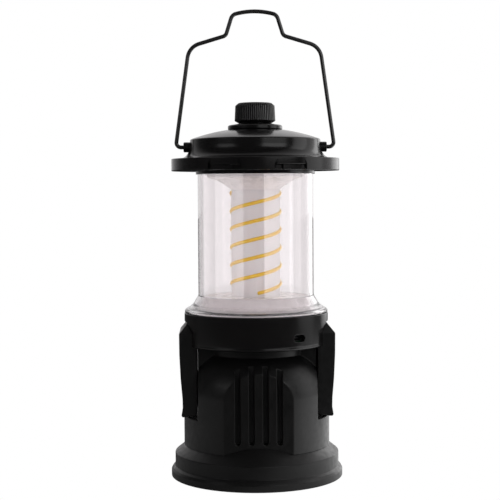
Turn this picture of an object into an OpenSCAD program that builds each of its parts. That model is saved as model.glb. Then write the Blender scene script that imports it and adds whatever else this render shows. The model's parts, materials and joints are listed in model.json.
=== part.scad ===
// Camping lantern: battery base, lamp head in a clear globe, lid with dimmer knob and a wire bail.
// Millimetres. Origin at the centre of the resting face, +Z up, front towards -Y.

/* [Base] */
// Radius of the foot lip
foot_r = 46.9; // [46:0.1:48]
// Radius of the vertical band above the foot
band_r = 44.8; // [44:0.1:45.5]
// Top of the vertical band
band_top = 13.1; // [12.5:0.1:13.5]
// Radius of the battery housing
housing_r = 39.8; // [39.6:0.1:40.2]
// Plastic wall thickness of the housing
wall = 2; // [1.8:0.1:2.2]
// Distance of the front and back flats from the axis
flat_y = 35.4; // [35:0.1:36]
// Distance of the side flats behind the latches from the axis
flat_x = 31.9; // [31.7:0.1:32]
// Height of the ledge under each side flat
ledge_z = 33.8; // [33.5:0.1:34.1]
// Radius of the neck that plugs into the lamp head
neck_r = 27.5; // [27.3:0.1:27.6]

/* [Lamp head] */
// Radius of the collar
collar_r = 39.3; // [39.1:0.1:39.5]
// Underside of the collar
collar_z0 = 71.8; // [71.6:0.1:72]
// Top of the collar
collar_z1 = 89.4; // [89.2:0.1:89.6]
// Outer radius of the clear globe
globe_r = 31.5; // [31.4:0.1:31.7]
// Outer radius of the white light column
column_r = 13.3; // [13:0.1:13.6]
// Thickness of the LED filaments
filament_d = 2; // [1.8:0.1:2.2]
// Height that each filament climbs in one turn
filament_lead = 19.6; // [19:0.1:20]

/* [Lid] */
// Radius of the brim
brim_r = 45.7; // [45.4:0.1:46]
// Underside of the brim
brim_z0 = 166.4; // [166.2:0.1:166.6]
// Top of the brim
brim_z1 = 173.1; // [172.8:0.1:173.2]
// Radius of the upright band under the dome
dome_r = 35.5; // [35.3:0.1:35.7]
// Ribs around the dimmer knob
knob_ribs = 60; // [40:2:64]

/* [Moving parts] */
// Diameter of the bail wire
bail_d = 2.2; // [2:0.1:2.2]
// Height of the bail pivots
bail_z = 179.4; // [179.2:0.1:179.6]
// Radius of the dimmer shaft
shaft_r = 2.5; // [2.4:0.1:2.6]
// Radius of the latch hinge pins
pin_r = 1; // [0.9:0.05:1.1]
// Running clearance of shafts and pins, on the radius
run_gap = 0.05; // [0.03:0.01:0.08]

/* [Hidden] */
$fn = 96;
eps = 0.01;

// Base levels
foot_z = 0.1;
flange_z0 = 2.4;
flange_z1 = 4.4;
skirt_w = 2.6;
cone_r1 = 33;
cone_z1 = 22.6;
cone_slope = 0.809;
cone_z0 = cone_z1 - (housing_r - cone_r1) * cone_slope;
base_bore_r = 30.5;
boss_r = 2.9;
cover_r = 37.3;
base_screw_r = 33.5;
boss_top = 15.8;

// Housing shoulder: a quarter arc from the cylinder up to the neck
shoulder_z = 45.7;
shoulder_r = 24.75;
shoulder_c = housing_r - shoulder_r;
neck_top = 73.6;
// Solid cheeks that carry the side flats up from the shoulder
cheek_half_y = 15;
cheek_top = 71.3;

// Cooling grooves in the front and back flats
groove_xs = [-11, -3.7, 3.7, 11];
groove_w = 2.9;
groove_floor = 31.9;
groove_z0 = 22.5;

// Battery pack
cell_r = 9.2;
cell_len = 65;
cell_ring_r = 10.9;
cell_z0 = 5.5;
link_t = 0.3;

// Collar and its electronics
collar_wall = 2.5;
floor_t = 2;
roof_t = 2;
neck_hole_r = 28;
screw_recess = 1.3;
board_z0 = 75.2;
board_t = 1.3;
board_top = board_z0 + board_t;
port_angle = 33.8;
port_z = 78.2;
port_back = 29.3;

// Side latches
latch_in_x = 32.4;
latch_half_y = 17;
latch_top_y = 10.4;
latch_corner_z = 79;
latch_z0 = ledge_z + 0.6;
latch_tip = [37.8, 84.3];
pin_x = 37;
pin_z = 79;
lug_r = 2.4;
lug_y = [5, 8];
pocket_x = 31.2;
pocket_gap = 0.4;
catch_z = 40;

// Lamp chamber
platform_z = 98.3;
platform_r = 29.4;
column_top = 156.2;
globe_wall = 1.6;
globe_top = 166.5;
filament_phase = 149.4;
filament_steps = 30;

// Lid and dimmer
plate_z0 = 167.2;
plate_z1 = 169;
plate_r = 43;
seat_z = 188.3;
seat_r = 15.2;
dome_z0 = 183.5;
dome_edge_r = 14.85;
dome_z1 = 188.7;
dome_c = (pow(dome_z1, 2) - pow(dome_z0, 2) + pow(dome_edge_r, 2) - pow(dome_r, 2))
    / (2 * (dome_z1 - dome_z0));
dome_radius = sqrt(pow(dome_r, 2) + pow(dome_z0 - dome_c, 2));
lid_wall = 2.2;
notch_angles = [11.4, 33.6];
tab_angles = [17, 33.2];
notch_z1 = 169.3;
bush_r = 3.6;
lid_screw_r = 38.3;
knob_z0 = 192.3;
knob_top = 203.7;

// Centre line of half the bail, from its pivot end to the crown, with the bend radius at each corner
pivot_x = 39.6;
bail_points = [[pivot_x, bail_z], [43.2, bail_z], [35.6, 233.7], [15.6, 239.7], [12.1, 250.9],
    [0, 254.3]];
bail_bends = [0, 2.5, 9, 3, 4, 40];

// ---- helpers ----

// Solid of revolution from a list of [radius, height]
module lathe(points) {
    rotate_extrude() polygon(points);
}

module tube(r_out, r_in, z0, z1) {
    difference() {
        translate([0, 0, z0]) cylinder(r = r_out, h = z1 - z0);
        translate([0, 0, z0 - 1]) cylinder(r = r_in, h = z1 - z0 + 2);
    }
}

module disc(r, z0, z1) {
    translate([0, 0, z0]) cylinder(r = r, h = z1 - z0);
}

// Children repeated at four places on a square
module four(x, y) {
    for (sx = [-1, 1], sy = [-1, 1]) translate([sx * x, sy * y, 0]) children();
}

module both_sides() {
    children();
    mirror([1, 0, 0]) children();
}

// Sector of a disc between two angles measured from the front, towards +X
module sector(r_in, r_out, a0, a1, z0, z1) {
    translate([0, 0, z0]) rotate([0, 0, a0 - 90]) rotate_extrude(angle = a1 - a0)
        translate([r_in, 0]) square([r_out - r_in, z1 - z0]);
}

// Points of an arc in the [radius, height] plane
function arc(cr, cz, r, a0, a1, n) = [for (i = [0:n]) let (a = a0 + (a1 - a0) * i / n)
    [cr + r * cos(a), cz + r * sin(a)]];

function cone_z(r) = cone_z0 + (housing_r - r) * cone_slope;

module screw(head_r, head_z0, head_z1, shank_r, tip_z) {
    disc(head_r, head_z0, head_z1);
    disc(shank_r, head_z1, tip_z);
}

// ---- base ----

module foot_ring() {
    color("dimgray") tube(43.3, 37.6, 0, flange_z0);
}

module base_ring() {
    in_r = band_r - skirt_w;
    color("#242224") difference() {
        lathe([[43.4, foot_z], [foot_r - 0.3, foot_z], [foot_r, foot_z + 0.3], [foot_r, 3.4],
            [foot_r - 0.4, 3.8], [foot_r - 0.8, 5], [band_r + 0.6, 5.6], [band_r + 0.1, 6.3],
            [band_r, 6.6], [band_r, band_top], [housing_r, cone_z0], [cone_r1, cone_z1],
            [base_bore_r, cone_z1], [base_bore_r, cone_z1 - 3], [cone_r1 - 1, cone_z1 - 3],
            [in_r, band_top - 1.6], [in_r, flange_z1], [37.5, flange_z1],
            [37.5, flange_z0], [43.4, flange_z0]]);
        rotate([0, 0, 45]) for (a = [0:90:270]) rotate([0, 0, a])
            translate([base_screw_r, 0, cone_z1 - 6]) cylinder(r = 1.7, h = 8);
    }
}

module at_base_screws() {
    for (a = [45:90:315]) rotate([0, 0, a]) translate([base_screw_r, 0, 0]) children();
}

module bottom_cover() {
    color("#1c1b1c") difference() {
        union() {
            disc(cover_r, 1.2, flange_z1);
            at_base_screws() disc(boss_r, flange_z1 - eps, boss_top);
        }
        at_base_screws() {
            disc(1.7, 0, 20);
            disc(boss_r - 0.2, 0, 3);
        }
    }
}

module base_screws() {
    color("silver") at_base_screws() screw(2.6, 1.6, 3, 1.5, 32);
}

// ---- battery housing ----

// Space inside the front, back and side flats moved in by t
module flats_form(t) {
    big = 100;
    intersection() {
        translate([-big, -(flat_y - t), 0]) cube([2 * big, 2 * (flat_y - t), big]);
        union() {
            translate([-big, -big, 0]) cube([2 * big, 2 * big, ledge_z - t]);
            translate([-(flat_x - t), -big, 0]) cube([2 * (flat_x - t), 2 * big, big]);
        }
    }
}

module grooves() {
    for (s = [-1, 1], x = groove_xs) translate([x, 0, 0]) {
        translate([-groove_w / 2, s > 0 ? groove_floor : -groove_floor - 10, groove_z0 + groove_w / 2])
            cube([groove_w, 10, 50]);
        translate([0, s > 0 ? groove_floor : -groove_floor - 10, groove_z0 + groove_w / 2])
            rotate([-90, 0, 0]) cylinder(d = groove_w, h = 10);
    }
}

module battery_housing() {
    pillar_r = 4.4;
    rise = sqrt(pow(shoulder_r, 2) - pow(neck_r - shoulder_c, 2));
    rise_in = sqrt(pow(shoulder_r - wall, 2) - pow(neck_r - wall - shoulder_c, 2));
    color("#262425") difference() {
        union() {
            difference() {
                union() {
                    intersection() {
                        lathe(concat([[0, cone_z1], [cone_r1, cone_z1], [housing_r, cone_z0]],
                            arc(shoulder_c, shoulder_z, shoulder_r, 0,
                                asin(rise / shoulder_r), 18),
                            [[neck_r, neck_top], [0, neck_top]]));
                        flats_form(0);
                    }
                    both_sides() translate([20, -cheek_half_y, 50])
                        cube([flat_x - 20, 2 * cheek_half_y, cheek_top - 50]);
                }
                // hollow, closed at the bottom by a sloping floor ring
                intersection() {
                    lathe(concat([[0, cone_z1 + wall], [cone_r1 + 0.7, cone_z1 + wall],
                        [housing_r - wall, cone_z(housing_r - wall) + wall]],
                        arc(shoulder_c, shoulder_z, shoulder_r - wall, 0,
                            asin(rise_in / (shoulder_r - wall)), 18),
                        [[neck_r - wall, neck_top + 1], [0, neck_top + 1]]));
                    flats_form(wall);
                    // thicker wall behind the grooves
                    difference() {
                        translate([-60, -60, 0]) cube([120, 120, 100]);
                        for (s = [-1, 1]) translate([-14.2, s > 0 ? groove_floor - wall : -60, 0])
                            cube([28.4, 60 - groove_floor + wall, 100]);
                    }
                }
                disc(base_bore_r, cone_z1 - 1, cone_z1 + wall + 1);
            }
            intersection() {
                at_base_screws() disc(pillar_r, cone_z1, 36);
                disc(housing_r - 0.5, cone_z1, 40);
                flats_form(0.5);
            }
        }
        grooves();
        at_base_screws() disc(1.5, cone_z1 - 4, 32.5);
        // catch slots for the side latches
        both_sides() translate([flat_x - 1.2, -5.5, catch_z - 0.5]) cube([3, 11, 3]);
    }
}

// ---- battery pack ----

module at_cells() {
    for (a = [90:120:330]) rotate([0, 0, a]) translate([cell_ring_r, 0, 0]) children();
}

module battery_cells() {
    color("mediumseagreen") at_cells() {
        disc(cell_r, cell_z0, cell_z0 + cell_len - 1.2);
        disc(3.4, cell_z0 + cell_len - 1.2 - eps, cell_z0 + cell_len);
    }
}

module pack_lower_holder() {
    color("black") difference() {
        disc(22, flange_z1, 11);
        at_cells() disc(cell_r + 0.1, cell_z0 - link_t, 12);
    }
}

module pack_upper_holder() {
    top = cell_z0 + cell_len;
    color("black") difference() {
        disc(22, 64.5, top + link_t + 0.8);
        at_cells() disc(cell_r + 0.1, 64, top + link_t);
        for (s = [-1, 1]) translate([s * 6, 0, 60]) cylinder(r = 1.3, h = 20);
    }
}

module cell_links() {
    top = cell_z0 + cell_len;
    color("silver") for (z = [cell_z0 - link_t, top]) at_cells() disc(3.4, z, z + link_t);
}

module neck_cap() {
    top = cell_z0 + cell_len;
    color("#1c1b1c") difference() {
        disc(neck_r - wall - 0.1, top + link_t + 0.8, neck_top);
        for (s = [-1, 1]) translate([s * 6, 0, 60]) cylinder(r = 1.25, h = 20);
    }
}

module neck_contacts() {
    color("goldenrod") for (s = [-1, 1]) translate([s * 6, 0, 0]) {
        disc(1.2, cell_z0 + cell_len + link_t, neck_top + eps);
        disc(2.4, neck_top, neck_top + 0.3);
    }
}

module neck_seal() {
    color("dimgray") tube(neck_hole_r, neck_r, 72.2, neck_top);
}

// ---- collar ----

// Outline of a side latch seen from the front, right hand side
module latch_outline() {
    difference() {
        union() {
            polygon([[latch_in_x, latch_z0 + 1.5], [latch_in_x + 1.4, latch_z0 + 0.1], [40.4, latch_z0],
                [40.9, latch_z0 + 0.7], [40.2, latch_z0 + 5],
                [40.3, 44.5], [41.2, 55], [41.8, 68], [41.9, 79.2], latch_tip,
                [pin_x, pin_z + 4.6], [latch_in_x, pin_z]]);
            translate([pin_x, pin_z]) circle(r = 4.6);
        }
        // finger scoop under the lower end
        translate([36.2, latch_z0 - 2.3]) circle(r = 3);
    }
}

// Side view of the latch: full width below, narrowing at the top
module latch_side(gap) {
    polygon([[-latch_half_y - gap, 20], [latch_half_y + gap, 20],
        [latch_half_y + gap, latch_corner_z + 2 * gap], [latch_top_y + 2 * gap, latch_tip[1] + gap],
        [-latch_top_y - 2 * gap, latch_tip[1] + gap], [-latch_half_y - gap, latch_corner_z + 2 * gap]]);
}

module collar_pocket() {
    intersection() {
        translate([pocket_x, -30, collar_z0 - 5]) cube([20, 60, 30]);
        translate([pocket_x - 1, 0, 0]) rotate([90, 0, 90]) linear_extrude(20) latch_side(pocket_gap);
    }
}

module latch_lugs() {
    for (s = [-1, 1]) translate([0, s > 0 ? lug_y[0] : -lug_y[1], 0]) {
        translate([pocket_x - 1, 0, pin_z - lug_r])
            cube([pin_x - pocket_x + 1, lug_y[1] - lug_y[0], 2 * lug_r]);
        translate([pin_x, 0, pin_z]) rotate([-90, 0, 0]) cylinder(r = lug_r, h = lug_y[1] - lug_y[0]);
    }
}

module floor_bosses(r, z0, z1) {
    four(26.5, 21.8) disc(r, z0, z1);
}

module collar() {
    in_r = collar_r - collar_wall;
    color("#141314") difference() {
        union() {
            difference() {
                lathe([[0, collar_z0], [collar_r - 0.9, collar_z0], [collar_r - 0.1, collar_z0 + 0.5],
                    [collar_r, collar_z0 + 1.1], [collar_r - 0.2, collar_z0 + 1.7],
                    [collar_r - 0.1, collar_z0 + 2.2], [collar_r - 0.1, collar_z1 - 0.8],
                    [collar_r - 0.6, collar_z1], [0, collar_z1]]);
                // inside, with a box left around each latch pocket
                difference() {
                    disc(in_r, collar_z0 - 1, collar_z1 - roof_t);
                    both_sides() translate([pocket_x - 1.8, -latch_half_y - 2.4, 60])
                        cube([20, 2 * latch_half_y + 4.8, 40]);
                    floor_bosses(2.4, collar_z0 + floor_t, collar_z1);
                }
                disc(9, collar_z1 - roof_t - 1, collar_z1 + 1);
                both_sides() collar_pocket();
            }
            both_sides() latch_lugs();
        }
        both_sides() translate([pin_x, 0, pin_z]) rotate([90, 0, 0])
            translate([0, 0, -12]) cylinder(r = pin_r, h = 24);
        floor_bosses(1.2, collar_z0, 84);
        // charging port window
        rotate([0, 0, port_angle]) for (s = [-1, 1]) translate([s * 1.55, -30, port_z])
            rotate([90, 0, 0]) cylinder(r = 1.95, h = 12);
        rotate([0, 0, port_angle]) translate([-1.55, -42, port_z - 1.95]) cube([3.1, 12, 3.9]);
    }
}

module collar_floor() {
    color("#1c1b1c") difference() {
        union() {
            disc(collar_r - collar_wall - 0.1, collar_z0 + 0.2, collar_z0 + floor_t);
            four(12, 30) disc(2.2, collar_z0 + floor_t - eps, board_z0);
        }
        disc(neck_hole_r, collar_z0 - 1, 80);
        both_sides() translate([pocket_x - 1.9, -latch_half_y - 2.5, 60])
            cube([20, 2 * latch_half_y + 5, 40]);
        four(12, 30) disc(0.9, collar_z0 + 0.8, 80);
        floor_bosses(1.4, collar_z0 - 1, 80);
        floor_bosses(2.3, collar_z0 - 1, collar_z0 + screw_recess);
    }
}

module floor_screws() {
    color("dimgray") four(26.5, 21.8) screw(2.1, collar_z0 + 0.3, collar_z0 + screw_recess, 1.2, 83);
}

module control_board() {
    color("darkgreen") difference() {
        intersection() {
            disc(35.2, board_z0, board_top);
            translate([-23.4, -50, 70]) cube([46.8, 100, 20]);
        }
        four(12, 30) disc(1.1, 70, 90);
        disc(1.1, 70, 90);
    }
}

module board_parts() {
    color("dimgray") {
        translate([-14, -20, board_top]) cube([9, 9, 1.4]);
        translate([4, 8, board_top]) cube([6, 5, 1.6]);
        translate([-15, 12, board_top]) cylinder(r = 4, h = 7);
        translate([14, 16, board_top]) cylinder(r = 3.1, h = 6);
        translate([12, -8, board_top]) cube([7, 7, 4]);
    }
}

module board_screws() {
    color("silver") four(12, 30) {
        disc(0.9, 73.2, board_top + eps);
        disc(1.7, board_top, board_top + 1.1);
    }
}

module head_contacts() {
    color("goldenrod") for (s = [-1, 1]) translate([s * 6, 0, 0]) {
        disc(1.6, neck_top + 0.9, board_z0);
        disc(0.8, neck_top + 0.3, neck_top + 0.9 + eps);
    }
}

// Slot with round ends, lying along X, pushed from the axis towards the front
module port_slot(w, h, y0, y1) {
    translate([0, -y0, port_z]) rotate([90, 0, 0]) linear_extrude(y1 - y0) {
        square([w - h, h], center = true);
        for (s = [-1, 1]) translate([s * (w - h) / 2, 0]) circle(d = h);
    }
}

module charge_port() {
    color("silver") rotate([0, 0, port_angle]) difference() {
        port_slot(6.6, 3.3, port_back, port_back + 6.9);
        port_slot(6, 2.7, port_back + 0.6, 40);
    }
}

module port_tongue() {
    color("black") rotate([0, 0, port_angle])
        translate([-1.9, -port_back - 5.8, port_z - 0.35]) cube([3.8, 5.2, 0.7]);
}

// ---- side latches ----

module latch_pins() {
    color("silver") both_sides() translate([pin_x, 16.4, pin_z]) rotate([90, 0, 0])
        cylinder(r = pin_r, h = 29.4);
}

module latch() {
    difference() {
        union() {
            intersection() {
                rotate([90, 0, 0]) translate([0, 0, -30]) linear_extrude(60) latch_outline();
                translate([20, 0, 0]) rotate([90, 0, 90]) linear_extrude(30) latch_side(0);
            }
            // catch that sits in the slot of the housing
            translate([flat_x - 0.6, -5, catch_z]) cube([1.6, 10, 2]);
        }
        // room for the collar's hinge lugs
        for (s = [-1, 1]) translate([0, s > 0 ? lug_y[0] - 0.4 : -lug_y[1] - 0.4, 0]) {
            translate([20, 0, pin_z - lug_r - 0.4]) cube([pin_x - 20, lug_y[1] - lug_y[0] + 0.8, 20]);
            translate([pin_x - eps, 0, pin_z]) cube([lug_r + 0.4, lug_y[1] - lug_y[0] + 0.8, 20]);
            translate([pin_x, 0, pin_z]) rotate([-90, 0, 0])
                cylinder(r = lug_r + 0.4, h = lug_y[1] - lug_y[0] + 0.8);
        }
        translate([pin_x, 18, pin_z]) rotate([90, 0, 0]) cylinder(r = pin_r + run_gap, h = 31.4);
    }
}

module latch_right() {
    color("#0e0d0e") latch();
}

module latch_left() {
    color("#0e0d0e") mirror([1, 0, 0]) latch();
}

// ---- lamp chamber ----

module lower_reflector() {
    color("white") lathe([[11, platform_z - 1.8], [platform_r - 1.8, platform_z - 1.8],
        [platform_r - 1.8, 93.4], [30, 91], [30, collar_z1], [32.2, collar_z1], [32.2, 92],
        [31.7, 92.5], [platform_r, 93.4], [platform_r, platform_z - 0.5],
        [platform_r - 0.5, platform_z], [11, platform_z]]);
}

module globe_seal() {
    color("dimgray") tube(38.2, 36.8, collar_z1, collar_z1 + 0.5);
}

module globe() {
    in_r = globe_r - globe_wall;
    color("lightcyan", 0.35) lathe([[in_r, globe_top], [globe_r, globe_top], [globe_r, 98.8],
        [globe_r + 0.5, 98], [34.4, 94], [36.6, 92.3], [38.6, 91.2], [39, 90.6], [39, collar_z1 + 0.5],
        [36.6, collar_z1 + 0.5], [36.4, 90.8], [32.9, 93.6], [in_r + 0.5, 97.6], [in_r, 98.8]]);
}

module light_column() {
    color("whitesmoke") tube(column_r, column_r - 1.6, platform_z, column_top);
}

// One round thread wound up the column: a tube swept along a helix
function helix_ring(a, z, r, rt, sides) = let (
        slope = atan(filament_lead / (2 * PI * r)),
        out = [sin(a), -cos(a), 0],
        up = [-sin(slope) * cos(a), -sin(slope) * sin(a), cos(slope)])
    [for (k = [0:sides - 1]) let (b = 360 * k / sides)
        [r * sin(a), -r * cos(a), z] + rt * (cos(b) * out + sin(b) * up)];

module filament(front_z) {
    r = column_r - 0.05;
    sides = 8;
    rt = filament_d / 2;
    low = platform_z + 2.2;
    high = column_top - 1.2;
    a0 = (low - front_z) / filament_lead * 360;
    a1 = (high - front_z) / filament_lead * 360;
    n = ceil((a1 - a0) / 360 * filament_steps);
    rings = [for (i = [0:n]) let (a = a0 + (a1 - a0) * i / n)
        each helix_ring(a, front_z + a / 360 * filament_lead, r, rt, sides)];
    faces = concat(
        [[for (k = [0:sides - 1]) k]],
        [for (i = [0:n - 1], k = [0:sides - 1]) [i * sides + k, (i + 1) * sides + k,
            (i + 1) * sides + (k + 1) % sides, i * sides + (k + 1) % sides]],
        [[for (k = [sides - 1:-1:0]) n * sides + k]]);
    polyhedron(rings, faces);
}

module filament_a() {
    color("gold") filament(filament_phase);
}

module filament_b() {
    color("gold") filament(filament_phase - filament_lead / 2);
}

module wire_harness() {
    color("firebrick") for (s = [-1, 1]) translate([s * 3.2, 0, 0]) disc(0.8, board_top, 171.4);
}

module upper_reflector() {
    color("white") lathe([[11.7, column_top], [column_r, column_top], [14.6, 157.4], [18.7, 160.1],
        [22.5, 162], [26, 162.9], [26.5, 163.3], [26.5, plate_z0], [24.6, plate_z0], [24.6, 164.8],
        [21.8, 163.8], [17.6, 161.8], [13.2, 158.4], [11.7, 156.8]]);
}

module globe_top_seal() {
    color("dimgray") tube(globe_r, globe_r - globe_wall, globe_top, plate_z0);
}

module globe_ring() {
    lip_z = 164.7;
    slot_in = globe_r - globe_wall - 0.15;
    slot_out = globe_r + 0.15;
    color("#141314") difference() {
        union() {
            lathe([[10, plate_z0], [27.3, plate_z0], [27.3, lip_z], [slot_in, lip_z],
                [slot_in, plate_z0], [slot_out, plate_z0], [slot_out, lip_z], [32.5, lip_z],
                [32.5, plate_z0 - 0.5], [plate_r, plate_z0 - 0.5], [plate_r, plate_z1],
                [10, plate_z1]]);
            // snap tabs that show in the notches of the brim
            for (back = [0, 180], s = [-1, 1]) rotate([0, 0, back])
                sector(plate_r - 1, brim_r - 0.9, s > 0 ? tab_angles[0] : -tab_angles[1],
                    s > 0 ? tab_angles[1] : -tab_angles[0], plate_z0 - 0.5, plate_z1);
        }
        at_lid_screws() {
            disc(1.5, 160, 175);
            disc(2.6, 160, plate_z0 - 0.5 + screw_recess);
        }
    }
}

// ---- lid ----

module at_lid_screws() {
    for (a = [45:90:315]) rotate([0, 0, a]) translate([lid_screw_r, 0, 0]) children();
}

module lid() {
    inner_top = seat_z - lid_wall;
    rim_in = plate_r + 0.2;
    color("#141314") difference() {
        union() {
            difference() {
                lathe(concat([[rim_in, brim_z0], [brim_r - 0.4, brim_z0], [brim_r, brim_z0 + 0.4],
                    [brim_r, brim_z1 - 0.7], [brim_r - 0.7, brim_z1], [41.6, brim_z1], [39.9, 174]],
                    [[38.2, 175.1], [36.6, 176.9], [dome_r + 0.1, 178.8]],
                    [[dome_r, 182.9], [dome_r - 0.3, dome_z0]],
                    arc(0, dome_c, dome_radius, acos((dome_r - 0.6) / dome_radius),
                        acos(seat_r / dome_radius), 12),
                    [[seat_r, seat_z], [0, seat_z], [0, inner_top]],
                    [[seat_r - 1, inner_top], [26, 184.2], [dome_r - lid_wall, 181.4],
                    [dome_r - lid_wall, 177.2], [35.4, 174.6], [37.5, 172.6], [40, 171.2],
                    [rim_in, 170.8]]));
                both_sides() translate([dome_r, 0, bail_z]) rotate([0, 90, 0]) cylinder(r = 2.75, h = 10);
                both_sides() translate([20, 0, bail_z]) rotate([0, 90, 0]) cylinder(r = 2, h = 20);
            }
            at_lid_screws() disc(2.8, plate_z1, 173);
        }
        disc(bush_r + 0.1, 180, 200);
        at_lid_screws() disc(1.2, 160, 173.4);
        for (back = [0, 180], s = [-1, 1]) rotate([0, 0, back])
            sector(plate_r - 2, brim_r + 2, s > 0 ? notch_angles[0] : -notch_angles[1],
                s > 0 ? notch_angles[1] : -notch_angles[0], brim_z0 - 1, notch_z1);
    }
}

module lid_screws() {
    color("dimgray") at_lid_screws() screw(2.4, plate_z0 - 0.4, plate_z0 - 0.5 + screw_recess, 1.2, 173.2);
}

module dimmer_board() {
    color("darkgreen") difference() {
        disc(15, 171.4, 172.9);
        disc(1.1, 170, 175);
    }
}

module dimmer_body() {
    color("steelblue") difference() {
        union() {
            disc(8.2, 172.9, 181.5);
            disc(bush_r, 181.5 - eps, 190.9);
        }
        disc(shaft_r + run_gap, 176, 200);
    }
}

module dimmer_nut() {
    color("silver") difference() {
        translate([0, 0, seat_z]) cylinder(r = 6, h = 2.2, $fn = 6);
        disc(bush_r, 180, 200);
    }
}

module dimmer_shaft() {
    color("silver") disc(shaft_r, 176.2, 200);
}

module knob_bezel() {
    color("#141314") lathe([[bush_r + 0.2, 190.7], [6.6, 190.7], [6.6, seat_z], [14.4, seat_z],
        [dome_edge_r, seat_z + 0.5], [dome_edge_r, 190.6], [14.4, 191.1], [9.3, 192], [bush_r + 0.2, 192]]);
}

// Round outline with fine upright ribs
module ribbed_outline(r_tip, r_root) {
    step = 360 / knob_ribs;
    polygon([for (i = [0:knob_ribs - 1], k = [0:3]) let (
        a = step * (i + [0, 0.22, 0.5, 0.72][k]), r = k < 2 ? r_tip : r_root)
        [r * cos(a), r * sin(a)]]);
}

module dimmer_knob() {
    color("#100f10") difference() {
        intersection() {
            lathe([[0, knob_z0], [9, knob_z0], [11.1, knob_z0 + 1.2], [10.7, 201.5], [9, 203],
                [0, knob_top]]);
            union() {
                translate([0, 0, knob_z0]) linear_extrude(10) ribbed_outline(11.3, 10.4);
                disc(10.4, knob_z0, knob_top);
            }
        }
        disc(shaft_r, knob_z0 - 1, 200);
        tube(8.2, 4.4, knob_z0 - 1, 199.5);
    }
}

// ---- bail ----

module bail_lugs() {
    color("#1c1b1c") both_sides() difference() {
        translate([32.8, 0, bail_z]) rotate([0, 90, 0]) union() {
            cylinder(r = 2, h = 6.2);
            translate([0, 0, dome_r - 32.8]) cylinder(r = 2.75, h = 39 - dome_r);
        }
        translate([30, 0, bail_z]) rotate([0, 90, 0]) cylinder(r = bail_d / 2 + run_gap, h = 12);
    }
}

function unit(v) = v / norm(v);
function turn(a, b, c) = let (u = unit(b - a), v = unit(c - b)) u[0] * v[1] - u[1] * v[0];
function bend_angle(a, b, c) = acos(unit(b - a) * unit(c - b));
function tangent(a, b, c, r) = r * tan(bend_angle(a, b, c) / 2);

// Points along the bend at corner b, from the leg a-b to the leg b-c
function bend_points(a, b, c, r, n) = let (
        u = unit(b - a), p = b - u * tangent(a, b, c, r), side = turn(a, b, c) > 0 ? 1 : -1,
        centre = p + side * r * [-u[1], u[0]], from = p - centre, a0 = atan2(from[1], from[0]))
    [for (i = [0:n]) let (w = a0 + side * bend_angle(a, b, c) * i / n) centre + r * [cos(w), sin(w)]];

module bail_handle() {
    n = len(bail_points);
    pts = concat(bail_points, [for (i = [n - 2:-1:0]) [-bail_points[i][0], bail_points[i][1]]]);
    bends = concat(bail_bends, [for (i = [n - 2:-1:0]) bail_bends[i]]);
    last = len(pts) - 1;
    path = concat([pts[0]], [for (i = [1:last - 1]) each bend_points(pts[i - 1], pts[i], pts[i + 1],
        bends[i], 6)], [pts[last]]);
    m = len(path) - 1;
    sides = 12;
    rt = bail_d / 2 - 0.01;
    rings = [for (i = [0:m]) let (t = unit(path[min(i + 1, m)] - path[max(i - 1, 0)]))
        for (k = [0:sides - 1]) let (b = 360 * k / sides)
            [path[i][0] - t[1] * rt * cos(b), rt * sin(b), path[i][1] + t[0] * rt * cos(b)]];
    faces = concat([[for (k = [sides - 1:-1:0]) k]],
        [for (i = [0:m - 1], k = [0:sides - 1]) [i * sides + k, i * sides + (k + 1) % sides,
            (i + 1) * sides + (k + 1) % sides, (i + 1) * sides + k]],
        [[for (k = [0:sides - 1]) m * sides + k]]);
    color("#1a191a") {
        polyhedron(rings, faces);
        // pivot ends, each with an upset head that keeps it in its lug
        both_sides() translate([31.4, 0, bail_z]) rotate([0, 90, 0]) {
            cylinder(r = 1.8, h = 1);
            cylinder(d = bail_d, h = pivot_x - 31.4 + 0.6);
        }
    }
}

foot_ring();
base_ring();
bottom_cover();
base_screws();
battery_housing();
pack_lower_holder();
pack_upper_holder();
battery_cells();
cell_links();
neck_cap();
neck_contacts();
neck_seal();
collar();
collar_floor();
floor_screws();
control_board();
board_parts();
board_screws();
head_contacts();
charge_port();
port_tongue();
latch_pins();
latch_left();
latch_right();
lower_reflector();
globe_seal();
globe();
light_column();
filament_a();
filament_b();
wire_harness();
upper_reflector();
globe_top_seal();
globe_ring();
lid();
lid_screws();
dimmer_board();
dimmer_body();
dimmer_nut();
dimmer_shaft();
knob_bezel();
dimmer_knob();
bail_lugs();
bail_handle();
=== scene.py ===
"""Looks of the camping lantern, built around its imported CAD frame. Metres, +Z up, front towards -Y.

Outlines and named sizes are in millimetres, which MM turns into metres.
"""

import json
import math

import bmesh
import bpy
from mathutils import Matrix, Vector


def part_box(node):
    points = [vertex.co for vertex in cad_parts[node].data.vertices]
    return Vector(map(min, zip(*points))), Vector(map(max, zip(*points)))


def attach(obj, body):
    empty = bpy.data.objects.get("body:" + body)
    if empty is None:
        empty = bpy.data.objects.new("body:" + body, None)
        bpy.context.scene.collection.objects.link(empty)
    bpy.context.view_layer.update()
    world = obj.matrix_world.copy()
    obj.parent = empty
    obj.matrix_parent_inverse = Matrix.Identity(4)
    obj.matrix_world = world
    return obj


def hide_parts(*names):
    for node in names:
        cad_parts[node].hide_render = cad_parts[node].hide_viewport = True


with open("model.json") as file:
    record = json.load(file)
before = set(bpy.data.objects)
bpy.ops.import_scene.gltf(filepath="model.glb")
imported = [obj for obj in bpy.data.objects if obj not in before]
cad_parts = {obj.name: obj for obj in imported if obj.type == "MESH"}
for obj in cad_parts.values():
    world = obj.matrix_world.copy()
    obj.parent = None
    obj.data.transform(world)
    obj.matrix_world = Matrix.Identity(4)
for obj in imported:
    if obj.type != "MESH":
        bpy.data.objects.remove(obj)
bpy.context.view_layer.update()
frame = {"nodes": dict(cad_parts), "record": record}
nodes = frame["nodes"]

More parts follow.
